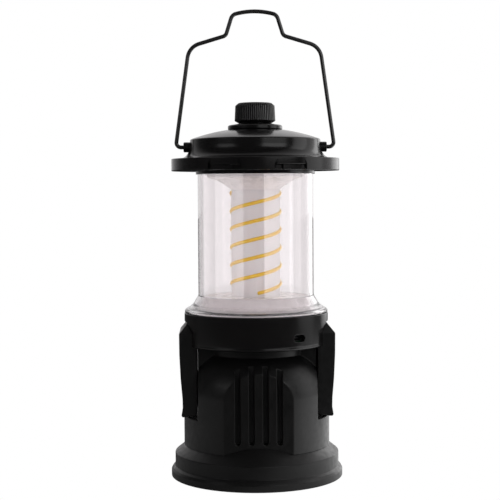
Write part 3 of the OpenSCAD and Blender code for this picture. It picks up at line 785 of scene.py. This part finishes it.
def latch(name):
    """Right hand latch; its outline is drawn in the (x, z) plane."""
    z0, z1 = LATCH_Z0, LATCH_Z1
    x_in, x_out, back_z, gap = 32.4, reach_x("latch_right"), PIN_Z + 4.6, 2.8
    outline = [(x_in, z0 + 1.5, 0.4), (x_in + 1.4, z0 + 0.1, 0.4), (x_out - 1.6, z0, 0.3),
               (x_out - 1, z0 + 0.8, 0.5), (x_out - 1.7, z0 + 5, 4), (x_out - 1.6, z0 + 10, 20),
               (x_out - 0.7, 55, 40), (x_out - 0.1, 68, 40), (x_out, 79.2, 0.8),
               (PIN_X + 0.8, z1, 0.5), (PIN_X + 0.2, back_z, 0.1), (x_in, back_z, 4.5)]
    body = prism(name, outline, 60, moved(0, 30, 0) @ ALONG_MINUS_Y, steps=6)
    face = prism("face", latch_face(0), 30, moved(20, 0, 0) @ ALONG_X)
    combine(body, "INTERSECT", face)
    finger_scoop = rod(3, 60, moved(36.2, 30, z0 - 2.3) @ ALONG_MINUS_Y)
    combine(body, "DIFFERENCE", finger_scoop)
    room = [(20, PIN_Z - gap, 0), (PIN_X + gap, PIN_Z - gap, 2.7), (PIN_X + gap, FAR, 0), (20, FAR, 0)]
    lug_rooms = [prism("room", room, 3.8, moved(0, y, 0) @ ALONG_MINUS_Y, steps=8) for y in (-4.6, 8.4)]
    combine(body, "DIFFERENCE", *lug_rooms)
    hook = block((FLAT_X - 0.6, -5, 40), (x_in + 0.6, 5, 42))
    combine(body, "UNION", hook)
    pin_bore = rod(1.05, 31.4, moved(PIN_X, 18, PIN_Z) @ ALONG_MINUS_Y)
    combine(body, "DIFFERENCE", pin_bore)
    round_edges(body, 0.35)
    return body


def latches():
    """Both side latches; the left one is a mirrored copy."""
    right = latch("latch_right_moulding")
    left = mirrored(right)
    left.name = "latch_left_moulding"
    smooth(right)
    smooth(left)
    finish_piece(right, "latch_right", "latch_r")
    finish_piece(left, "latch_left", "latch_l")


# ---------------------------------------------------------------- lamp chamber

def lower_reflector():
    """White platform at the column's foot."""
    r, r_in, skirt_r, flare_z, wall = 29.4, 11, 32.2, 93.4, 1.8
    plate = PLATFORM_Z - wall
    part = lathe("lower_reflector_moulding", [
        (r_in, plate, 0.2), (r - wall, plate, 0.3), (r - wall, flare_z, 0.5), (30, 91, 0.3),
        (30, COLLAR_Z1, 0.1), (skirt_r, COLLAR_Z1, 0.2), (skirt_r, 92.2, 0.4), (r, flare_z, 0.8),
        (r, PLATFORM_Z, 0.7), (r_in, PLATFORM_Z, 0.2)])
    smooth(part)
    finish_piece(part, "lower_reflector")


def upper_reflector():
    """White flared dish at the column's top."""
    r_in, r_out, low = 11.7, reach_x("upper_reflector"), bottom("upper_reflector")
    part = lathe("upper_reflector_moulding", [
        (r_in, low, 0.1), (COLUMN_R, low, 0.1), (14.6, 157.4, 2), (18.7, 160.1, 6), (22.5, 162, 5),
        (r_out - 0.5, 162.9, 0.3), (r_out, 163.3, 0.2), (r_out, PLATE_Z0, 0.1), (24.6, PLATE_Z0, 0.1),
        (24.6, 164.8, 0.3), (21.8, 163.8, 2), (17.6, 161.8, 4), (13.2, 158.4, 1.5), (r_in, 156.8, 0.2)])
    smooth(part)
    finish_piece(part, "upper_reflector")


def globe():
    """Clear globe with its flared skirt."""
    r, wall, foot_out, flare_z = 31.5, 1.6, 39, 98.8
    part = lathe("globe_moulding", [
        (r - wall, GLOBE_Z1, 0.3), (r, GLOBE_Z1, 0.3), (r, flare_z, 1.2), (34.4, 94, 6), (36.6, 92.3, 3),
        (38.6, 91.2, 1), (foot_out, 90.6, 0.4), (foot_out, GLOBE_Z0, 0.2), (36.6, GLOBE_Z0, 0.2),
        (36.4, 90.8, 0.5), (32.9, 93.6, 5), (r - wall, flare_z, 1.2)], AROUND_SHELL)
    smooth(part)
    finish_piece(part, "globe")
    return part


def light_column():
    """White tube that the filaments are wound on."""
    bore = COLUMN_R - 1.6
    tube = lathe("light_column_tube", [(bore, COLUMN_Z0, 0.1), (COLUMN_R, COLUMN_Z0, 0.15),
                 (COLUMN_R, COLUMN_Z1, 0.15), (bore, COLUMN_Z1, 0.1)])
    smooth(tube)
    finish_piece(tube, "light_column")


def filament(node, front_z):
    """Flexible filament wound up the column; front_z is where it crosses the front."""
    lead, radius, per_turn = FILAMENT_LEAD, COLUMN_R - 0.05, 72
    low, high = COLUMN_Z0 + 2.2, COLUMN_Z1 - 1.2
    start, end = (low - front_z) / lead, (high - front_z) / lead
    count = math.ceil((end - start) * per_turn)
    path = []
    for i in range(count + 1):
        turns = start + (end - start) * i / count
        a = 2 * math.pi * turns
        path.append(Vector((radius * math.sin(a), -radius * math.cos(a), front_z + turns * lead)) * MM)
    radii = [MM] * len(path)
    radii[0] = radii[-1] = 0.8 * MM
    part = tube_along(node + "_strip", path, radii, sides=12)
    smooth(part, math.radians(50))
    finish_piece(part, node)


# ---------------------------------------------------------------- lid, dimmer and bail

def four_spans(start, end):
    """The same span of angles either side of the front and of the back."""
    return [(start, end), (-end, -start), (180 + start, 180 + end), (180 - end, 180 - start)]


def globe_ring():
    """Ring under the brim that holds the globe's top, with four snap tabs."""
    plate_r, bore_r, slot_in, slot_out, lip = 43, 10, 29.75, 31.65, bottom("globe_ring")
    wall_in, wall_out, low = 27.3, 32.5, PLATE_Z0 - 0.5
    ring = lathe("globe_ring_moulding", [
        (bore_r, PLATE_Z0, 0.2), (wall_in, PLATE_Z0, 0.2), (wall_in, lip, 0.5), (slot_in, lip, 0.3),
        (slot_in, PLATE_Z0, 0.1), (slot_out, PLATE_Z0, 0.1), (slot_out, lip, 0.3), (wall_out, lip, 0.3),
        (wall_out, low, 0.2), (plate_r, low, 0.2), (plate_r, PLATE_Z1, 0.2), (bore_r, PLATE_Z1, 0.2)])
    tabs = [sector(plate_r - 1, BRIM_R - 0.9, *span, low, PLATE_Z1) for span in four_spans(17, 33.2)]
    combine(ring, "UNION", *tabs)
    head_r, shank_r, head_z = 2.6, 1.5, low + 1.3
    bore = plain([(0, 160), (head_r, 160), (head_r, head_z), (shank_r, head_z), (shank_r, 175), (0, 175)])
    combine(ring, "DIFFERENCE", at_four(lambda: lathe("bore", bore, AROUND_HOLE), LID_SCREW_R))
    smooth(ring)
    finish_piece(ring, "globe_ring")


def dome_arc():
    """The shallow dome between the upright band and the knob seat."""
    z0, z1, edge = 183.5, 188.7, BEZEL_R
    centre = (z1 ** 2 - z0 ** 2 + edge ** 2 - DOME_R ** 2) / (2 * (z1 - z0))
    radius = math.hypot(DOME_R, z0 - centre)
    start = math.degrees(math.acos((DOME_R - 0.6) / radius))
    end = math.degrees(math.acos(DOME_TOP_R / radius))
    return arc(0, centre, radius, start, end, 14)


def cove(low):
    """The hollow curve from the brim up to the upright band, a quarter of an ellipse."""
    r_out, high, steps = 41.6, 180.5, 12
    turns = [math.pi / 2 * k / steps for k in range(steps + 1)]
    return plain([(r_out - (r_out - DOME_R) * math.sin(a), high - (high - low) * math.cos(a)) for a in turns])


def lid():
    """Brim, cove, upright band and dome."""
    rim_in, brim_top, wall = 43.2, 173.1, 2.2
    inner_top, inner_r = SEAT_Z - wall, DOME_R - wall
    cover = lathe("lid_moulding", plain(
        [(rim_in, BRIM_Z0), (BRIM_R, BRIM_Z0), (BRIM_R, brim_top)]) + cove(brim_top) + plain(
        [(DOME_R, 183.3)]) + dome_arc() + plain(
        [(DOME_TOP_R, SEAT_Z), (0, SEAT_Z), (0, inner_top), (14.2, inner_top), (26, 184.2),
         (inner_r, 181.4), (inner_r, 177.2), (35.4, 174.6), (37.5, 172.6), (40, 171.2), (rim_in, 170.8)]),
        AROUND_SHELL)
    notch_in, notch_top, spans = 41, 169.3, four_spans(11.4, 33.6)
    notches = [sector(notch_in, BRIM_R + 2, *span, BRIM_Z0 - 1, notch_top) for span in spans]
    stem_r, step = 2, 35.2
    lug_hole = lathe("lug_hole", plain([(0, 20), (stem_r, 20), (stem_r, step), (LUG_R, step), (LUG_R, 48),
                                        (0, 48)]), AROUND_HOLE)
    lug_hole.data.transform(moved(0, 0, BAIL_Z) @ turned(90, "Y"))
    bush_hole = rod(3.7, 20, moved(0, 0, 180))
    combine(cover, "DIFFERENCE", bush_hole, *with_mirror(lug_hole), *notches)
    round_edges(cover, 0.4)
    smooth(cover)
    finish_piece(cover, "lid")


def knob_bezel():
    """Low ring round the knob's foot."""
    high, bore, nut_r = top("knob_bezel"), 3.8, 6.6
    part = lathe("knob_bezel_moulding", [
        (bore, high - 1.3, 0), (nut_r, high - 1.3, 0.3), (nut_r, SEAT_Z, 0), (14.4, SEAT_Z, 0.2),
        (BEZEL_R, SEAT_Z + 0.5, 0.2), (BEZEL_R, high - 1.4, 0.4), (14.2, high - 0.8, 0.5), (9.3, high, 0.5),
        (bore, high, 0.2)])
    smooth(part)
    finish_piece(part, "knob_bezel")


def dimmer_knob():
    """Knob whose upright ribs fade into its rounded top and foot."""
    ribs, rib_depth, plain_r, r = 60, 0.8, 9.4, KNOB_R
    around, row_height = ribs * 8, 1.2
    profile = fillet([(0, KNOB_Z0, 0), (9, KNOB_Z0, 0.3), (r, KNOB_Z0 + 1.2, 0.3), (r - 0.4, 201.7, 0.5),
                      (9, 203.2, 0.8), (0, KNOB_Z1, 0)])
    rows = []
    for a, b in zip(profile, profile[1:]):
        steps = max(1, round((b - a).length / row_height))
        rows += [a.lerp(b, k / steps) for k in range(steps)]
    rows.append(profile[-1])
    bm = bmesh.new()
    rings = []
    for row in rows:
        ring = []
        if row.x < 0.01:
            ring = [bm.verts.new(Vector((0, 0, row.y)) * MM)] * around
        else:
            depth = rib_depth * max(0, min(1, row.x - plain_r))
            for k in range(around):
                a = 2 * math.pi * k / around
                # The cube makes the ribs' crests broad and the valleys between them narrow
                wave = (0.5 - 0.5 * math.cos(ribs * a)) ** 3
                radius = row.x - depth * wave
                ring.append(bm.verts.new(Vector((radius * math.cos(a), radius * math.sin(a), row.y)) * MM))
        rings.append(ring)
    for one, two in zip(rings, rings[1:]):
        for k in range(around):
            j = (k + 1) % around
            # At the axis two of the four corners are one point
            bm.faces.new(list(dict.fromkeys((one[k], one[j], two[j], two[k]))))
    knob = from_bmesh(bm, "dimmer_knob_moulding")
    low, high, hub_r, skirt_r = KNOB_Z0 - 1, 199.5, 4.4, 8.2
    socket = lathe("socket", plain([(hub_r, low), (skirt_r, low), (skirt_r, high), (hub_r, high)]), around=64)
    shaft_bore = rod(2.5, 9, moved(0, 0, low))
    combine(knob, "DIFFERENCE", shaft_bore, socket)
    smooth(knob, math.radians(60))
    finish_piece(knob, "dimmer_knob", "dimmer")
    return knob


def bail_lugs():
    """The two lugs that the ends of the bail turn in."""
    r, bore, start, end = LUG_R, BAIL_R + 0.05, 32.8, reach_x("bail_lugs")
    lug = lathe("lug", [(bore, start, 0.1), (2, start, 0.2), (2, DOME_R, 0), (r, DOME_R, 0), (r, end, 0.5),
                (bore + 0.2, end, 0.15), (bore, end - 0.3, 0)], around=48)
    lug.data.transform(moved(0, 0, BAIL_Z) @ turned(90, "Y"))
    pair = merge(with_mirror(lug), "bail_lugs_turned")
    smooth(pair)
    finish_piece(pair, "bail_lugs")


def bend(a, b, c, radius):
    """Points of the bend at corner b of the line a, b, c."""
    before, after = (a - b).normalized(), (c - b).normalized()
    angle = before.angle(after)
    reach = radius / math.tan(angle / 2)
    centre = b + (before + after).normalized() * (radius / math.sin(angle / 2))
    return swing(centre, b + before * reach - centre, b + after * reach - centre, steps=10)


def bail_handle():
    """The stepped wire, with a thicker head at each end inside the lid."""
    half = [(31.4, BAIL_Z, 0), (32.4, BAIL_Z, 0), (32.45, BAIL_Z, 0)] + BAIL_CORNERS
    corners = half + [BAIL_CROWN] + [(-x, z, r) for x, z, r in reversed(half)]
    points = [Vector((x, 0, z)) for x, z, r in corners]
    path = []
    for i, (x, z, r) in enumerate(corners):
        path += bend(points[i - 1], points[i], points[i + 1], r) if r else [points[i]]
    radii = [BAIL_R] * len(path)
    for i in (0, 1, -1, -2):
        radii[i] = BAIL_HEAD_R
    wire = tube_along("bail_wire", [p * MM for p in path], [r * MM for r in radii], sides=24)
    smooth(wire, math.radians(50))
    finish_piece(wire, "bail_handle", "bail")


foot_ring()
base_ring()
bottom_cover()
screws("base_screws", diagonals(BASE_SCREW_R), head_r=2.6, head_h=1.4, shank_r=1.5)
battery_housing()
collar()
screws("floor_screws", four_corners(26.5, 21.8), head_r=2.1, head_h=1, shank_r=1.2)
latches()
lower_reflector()
upper_reflector()
clear_globe = globe()
light_column()
filament("filament_a", FILAMENT_Z)
filament("filament_b", FILAMENT_Z - FILAMENT_LEAD / 2)
globe_ring()
lid()
screws("lid_screws", diagonals(LID_SCREW_R), head_r=2.4, head_h=1.2, shank_r=1.2)
knob_bezel()
ribbed_knob = dimmer_knob()
bail_lugs()
bail_handle()

# The CAD nodes that no piece replaces are shown with these materials
for node, obj in nodes.items():
    obj.data.materials.clear()
    obj.data.materials.append(MATERIALS[SLOT_OF[node]])
    shade_smooth(obj)


# ---------------------------------------------------------------- camera, light and floor

LENS = 90.72                    # focal length and sensor width, in millimetres
SENSOR = 36
DISTANCE = 0.6886               # of the camera from the lantern's axis
EYE_Z = 0.1563
AZIMUTH = math.radians(-1.8)    # the camera's side
PITCH = math.radians(-2.75)
ROLL = math.radians(-0.35)
AIM_LEFT = math.radians(0.2625)  # how far it looks to the left of the axis

# What the white room is to matt surfaces, through the world and through the table
WORLD_FILL = 1.7
FLOOR_FILL = 1.6
FILL_TINT = (1, 0.975, 0.985)
# What glossy surfaces see of the room: dark in front, bright towards BRIGHT_SIDE
BRIGHT_SIDE = (0.45, 0.87, 0.16)
ROOM_DARK = (0.02, 0.02, 0.021)
ROOM_BRIGHT = (0.95, 0.935, 0.94)
# Two bright spots of the table in glossy parts: centre, level inside and outside, and the two distances
FLOOR_SPOTS = [((0.27, 0.1, 0), 1.35, 0.03, 0.2, 0.34),
               ((-0.26, -0.02, 0), 0.28, 0.03, 0.12, 0.3)]
# Sockets of a Mix node that mixes colours
MIX_FACTOR, MIX_A, MIX_B, MIX_RESULT = 0, 6, 7, 2


def make_camera():
    """Camera a little left of the front, at the height of the globe."""
    cam = bpy.data.objects.new("camera", bpy.data.cameras.new("camera"))
    bpy.context.scene.collection.objects.link(cam)
    cam.data.sensor_width = SENSOR
    cam.data.lens = LENS
    cam.data.clip_start, cam.data.clip_end = 0.01, 50
    cam.location = (math.sin(AZIMUTH) * DISTANCE, -math.cos(AZIMUTH) * DISTANCE, EYE_Z)
    heading = Matrix.Rotation(AZIMUTH + AIM_LEFT, 4, "Z")
    tilt = Matrix.Rotation(math.radians(90) + PITCH, 4, "X")
    cam.rotation_euler = (heading @ tilt @ Matrix.Rotation(ROLL, 4, "Z")).to_euler()
    bpy.context.scene.camera = cam


def ray_kinds(tree):
    """Two values: 1 for a ray mirrored by a glossy surface, and 1 or more for one scattered by a matt one."""
    path = tree.nodes.new("ShaderNodeLightPath")
    mirrored = tree.nodes.new("ShaderNodeMath")
    mirrored.operation = "SUBTRACT"
    mirrored.use_clamp = True
    tree.links.new(path.outputs["Is Glossy Ray"], mirrored.inputs[0])
    tree.links.new(path.outputs["Is Transmission Ray"], mirrored.inputs[1])
    return mirrored.outputs["Value"], path.outputs["Diffuse Depth"]


def white_to(tree, fill, room):
    """White to the eye, a tinted fill to matt surfaces, and the room's colour to glossy ones."""
    mirrored, scattered = ray_kinds(tree)
    matt = tree.nodes.new("ShaderNodeMix")
    matt.data_type = "RGBA"
    matt.inputs[MIX_A].default_value = (1, 1, 1, 1)
    matt.inputs[MIX_B].default_value = (*(fill * tint for tint in FILL_TINT), 1)
    tree.links.new(scattered, matt.inputs[MIX_FACTOR])
    glossy = tree.nodes.new("ShaderNodeMix")
    glossy.data_type = "RGBA"
    tree.links.new(mirrored, glossy.inputs[MIX_FACTOR])
    tree.links.new(matt.outputs[MIX_RESULT], glossy.inputs[MIX_A])
    tree.links.new(room, glossy.inputs[MIX_B])
    return glossy.outputs[MIX_RESULT]


def make_floor():
    """Pale table that runs out to white, and shows only dimly in glossy parts."""
    bm = bmesh.new()
    bmesh.ops.create_grid(bm, x_segments=8, y_segments=8, size=6)
    floor = from_bmesh(bm, "floor")
    mat = new_material("floor", (0, 0, 0), 1.0, Specular_IOR_Level=0.0)
    tree, bsdf = mat.node_tree, shader(mat)
    bsdf.inputs["Emission Strength"].default_value = 1.0
    coords = tree.nodes.new("ShaderNodeTexCoord")
    room = tree.nodes.new("ShaderNodeMath")
    room.operation = "MAXIMUM"
    for i, (centre, *levels) in enumerate(FLOOR_SPOTS):
        away = tree.nodes.new("ShaderNodeVectorMath")
        away.operation = "DISTANCE"
        away.inputs[1].default_value = centre
        tree.links.new(coords.outputs["Object"], away.inputs[0])
        tree.links.new(spread(mat, away.outputs["Value"], *levels), room.inputs[i])
    tree.links.new(white_to(tree, FLOOR_FILL, room.outputs["Value"]), bsdf.inputs["Emission Color"])
    floor.data.materials.append(mat)


def make_world():
    """White all round; glossy parts see a dim room that brightens behind the lantern."""
    world = bpy.data.worlds.new("studio")
    bpy.context.scene.world = world
    world.use_nodes = True
    tree = world.node_tree
    coords = tree.nodes.new("ShaderNodeTexCoord")
    back = tree.nodes.new("ShaderNodeVectorMath")
    back.operation = "DOT_PRODUCT"
    back.inputs[1].default_value = BRIGHT_SIDE
    tree.links.new(coords.outputs["Generated"], back.inputs[0])
    room = ramp(tree, back.outputs["Value"], ROOM_DARK, ROOM_BRIGHT, 0.0, 0.9)
    tree.links.new(white_to(tree, WORLD_FILL, room), tree.nodes["Background"].inputs["Color"])


def soft_box(name, around, low, high, width, brightness, distance=0.9):
    """Upright soft box facing the axis, `around` degrees from the camera's side, the right being positive."""
    light = bpy.data.lights.new(name, "AREA")
    light.shape = "RECTANGLE"
    light.size, light.size_y = width, high - low
    light.energy = brightness * math.pi * width * (high - low)
    obj = bpy.data.objects.new(name, light)
    turn = AZIMUTH + math.radians(around)
    place = Vector((math.sin(turn) * distance, -math.cos(turn) * distance, (low + high) / 2))
    obj.location = place
    obj.rotation_euler = (Vector((0, 0, place.z)) - place).to_track_quat("-Z", "Y").to_euler()
    bpy.context.scene.collection.objects.link(obj)
    return obj


def light_only(piece, *lights):
    """Lets these lights show in one piece and nowhere else."""
    group = bpy.data.collections.new(piece.name + "_lights")
    group.objects.link(piece)
    for light in lights:
        light.light_linking.receiver_collection = group


make_camera()
make_floor()
make_world()
light_only(clear_globe,
           soft_box("strip_left", -55, low=0.0, high=0.2, width=1.08, brightness=1.6),
           soft_box("strip_right", 48, low=0.0, high=0.2, width=1.1, brightness=2.3),
           soft_box("far_left", -106, low=0.0, high=0.2, width=0.7, brightness=0.7),
           soft_box("far_right", 104, low=0.0, high=0.2, width=0.78, brightness=0.8))
light_only(ribbed_knob,
           soft_box("rib_light", 62, low=0.1, high=0.5, width=0.9, brightness=5.5))
soft_box("key_right", 34, low=0.24, high=0.65, width=0.7, brightness=1.3)
soft_box("key_left", -52, low=0.3, high=0.6, width=0.5, brightness=0.7)
soft_box("soft_right", 85, low=0.0, high=0.8, width=0.5, brightness=0.8)
soft_box("rim_right", 140, low=0.0, high=0.6, width=0.4, brightness=1.1, distance=0.75)
soft_box("soft_left", -110, low=0.05, high=0.8, width=0.35, brightness=0.03, distance=1.0)
bpy.context.scene.view_settings.view_transform = "Standard"
